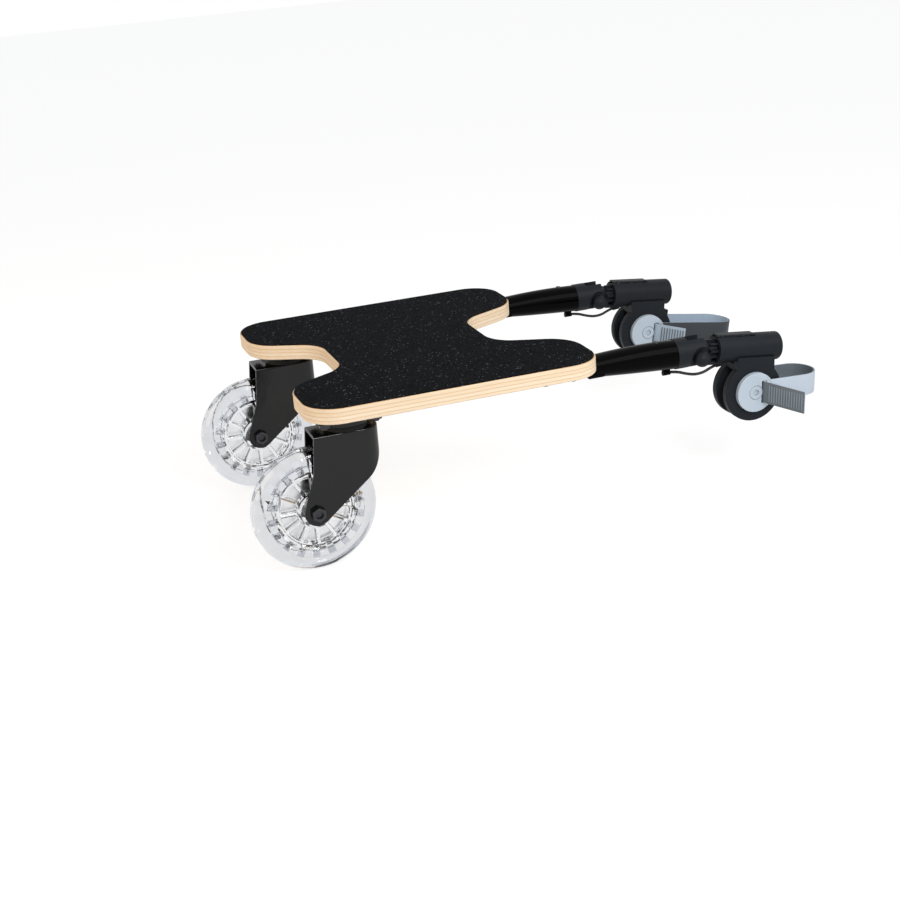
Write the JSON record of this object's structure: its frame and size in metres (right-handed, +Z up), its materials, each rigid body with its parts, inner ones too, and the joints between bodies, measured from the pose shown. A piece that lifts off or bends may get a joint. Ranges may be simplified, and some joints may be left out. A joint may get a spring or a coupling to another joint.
{
  "type": "buggy board",
  "caption": "H-shaped plywood standing platform with a grit top on swivel casters, towed by hinged, sliding arm connectors whose turning straps clamp round a pushchair frame.",
  "frame": {"origin": "on the floor under the middle of the whole part's bounding box", "axes": "+X to the board's right, +Y forward to the connectors, +Z up"},
  "size_m": [0.3605, 0.6518, 0.1738],
  "materials": {
    "plywood": "clear-sealed birch plywood",
    "grit": "black grit sheet",
    "black_steel": "satin black",
    "steel": "plain steel",
    "clear_hub": "clear",
    "clear_tyre": "clear, polished",
    "gloss_black": "gloss",
    "charcoal": "fine matt texture",
    "pale_grey": "matt",
    "strap_pale": "matt",
    "strap_dark": "matt"
  },
  "bodies": {
    "board": {"deck": "plywood", "grip_sheet": "grit", "plate_bolts": "steel", "plate_nuts": "steel", "arm_bolts": "steel", "arm_nuts": "steel", "caster_plate_left": "black_steel", "kingpin_left": "steel", "arm_left": "gloss_black", "end_fitting_left": "charcoal", "button_spring_left": "steel", "hinge_pin_left": "charcoal", "pin_clip_left": "steel", "tether_left": "charcoal", "caster_plate_right": "black_steel", "kingpin_right": "steel", "arm_right": "gloss_black", "end_fitting_right": "charcoal", "button_spring_right": "steel", "hinge_pin_right": "charcoal", "pin_clip_right": "steel", "tether_right": "charcoal"},
    "caster_left": {"fork_left": "black_steel", "axle_bolt_left": "steel", "axle_nut_left": "steel", "axle_sleeve_left": "steel", "swivel_balls_left": "steel"},
    "wheel_left": {"hub_left": "clear_hub", "tyre_left": "clear_tyre", "wheel_bearings_left": "steel"},
    "button_left": {"snap_button_left": "steel"},
    "rod_left": {"rod_left": "charcoal"},
    "housing_left": {"housing_left": "charcoal", "tab_spring_left": "steel"},
    "tab_left": {"release_tab_left": "charcoal"},
    "clamp_left": {"clamp_disc_left": "pale_grey", "clamp_drum_left": "charcoal", "clamp_screw_left": "steel", "clamp_nut_left": "steel", "strap_left": "strap_dark"},
    "caster_right": {"fork_right": "black_steel", "axle_bolt_right": "steel", "axle_nut_right": "steel", "axle_sleeve_right": "steel", "swivel_balls_right": "steel"},
    "wheel_right": {"hub_right": "clear_hub", "tyre_right": "clear_tyre", "wheel_bearings_right": "steel"},
    "button_right": {"snap_button_right": "steel"},
    "rod_right": {"rod_right": "charcoal"},
    "housing_right": {"housing_right": "charcoal", "tab_spring_right": "steel"},
    "tab_right": {"release_tab_right": "charcoal"},
    "clamp_right": {"clamp_disc_right": "pale_grey", "clamp_drum_right": "charcoal", "clamp_screw_right": "steel", "clamp_nut_right": "steel", "strap_right": "strap_pale"}
  },
  "joints": [
    {"name": "swivel_left", "type": "hinge", "parent": "board", "child": "caster_left", "pos_m": [-0.1361, -0.224, 0.14], "axis": [0, 0, 1], "continuous": true},
    {"name": "spin_left", "type": "hinge", "parent": "caster_left", "child": "wheel_left", "pos_m": [-0.1361, -0.2635, 0.0625], "axis": [1, 0, 0], "continuous": true},
    {"name": "button_press_left", "type": "slide", "parent": "board", "child": "button_left", "axis": [0, 0, -1], "range_m": [0, 0.0055], "stiffness_N_per_m": 500, "springref_m": -0.002, "deforming": ["button_spring_left"]},
    {"name": "pitch_left", "type": "hinge", "parent": "board", "child": "rod_left", "pos_m": [-0.1408, 0.1504, 0.1463], "axis": [1, 0, 0], "range_deg": [-15, 20], "deforming": ["tether_left"]},
    {"name": "extend_left", "type": "slide", "parent": "rod_left", "child": "housing_left", "axis": [0, 0.9936, -0.1132], "range_m": [-0.008, 0.036]},
    {"name": "tab_press_left", "type": "slide", "parent": "housing_left", "child": "tab_left", "axis": [0, -0.1132, -0.9936], "range_m": [0, 0.0016], "stiffness_N_per_m": 1500, "springref_m": -0.001, "deforming": ["tab_spring_left"]},
    {"name": "strap_turn_left", "type": "hinge", "parent": "housing_left", "child": "clamp_left", "pos_m": [-0.1408, 0.20869, 0.10141], "axis": [1, 0, 0], "range_deg": [-25, 25]},
    {"name": "swivel_right", "type": "hinge", "parent": "board", "child": "caster_right", "pos_m": [0.1055, -0.224, 0.14], "axis": [0, 0, 1], "continuous": true},
    {"name": "spin_right", "type": "hinge", "parent": "caster_right", "child": "wheel_right", "pos_m": [0.1055, -0.2635, 0.0625], "axis": [1, 0, 0], "continuous": true},
    {"name": "button_press_right", "type": "slide", "parent": "board", "child": "button_right", "axis": [0, 0, -1], "range_m": [0, 0.0055], "stiffness_N_per_m": 500, "springref_m": -0.002, "deforming": ["button_spring_right"]},
    {"name": "pitch_right", "type": "hinge", "parent": "board", "child": "rod_right", "pos_m": [0.1102, 0.1504, 0.1463], "axis": [1, 0, 0], "range_deg": [-15, 20], "deforming": ["tether_right"]},
    {"name": "extend_right", "type": "slide", "parent": "rod_right", "child": "housing_right", "axis": [0, 0.9936, -0.1132], "range_m": [-0.008, 0.036]},
    {"name": "tab_press_right", "type": "slide", "parent": "housing_right", "child": "tab_right", "axis": [0, -0.1132, -0.9936], "range_m": [0, 0.0016], "stiffness_N_per_m": 1500, "springref_m": -0.001, "deforming": ["tab_spring_right"]},
    {"name": "strap_turn_right", "type": "hinge", "parent": "housing_right", "child": "clamp_right", "pos_m": [0.1102, 0.20869, 0.10141], "axis": [1, 0, 0], "range_deg": [-25, 25]}
  ]
}
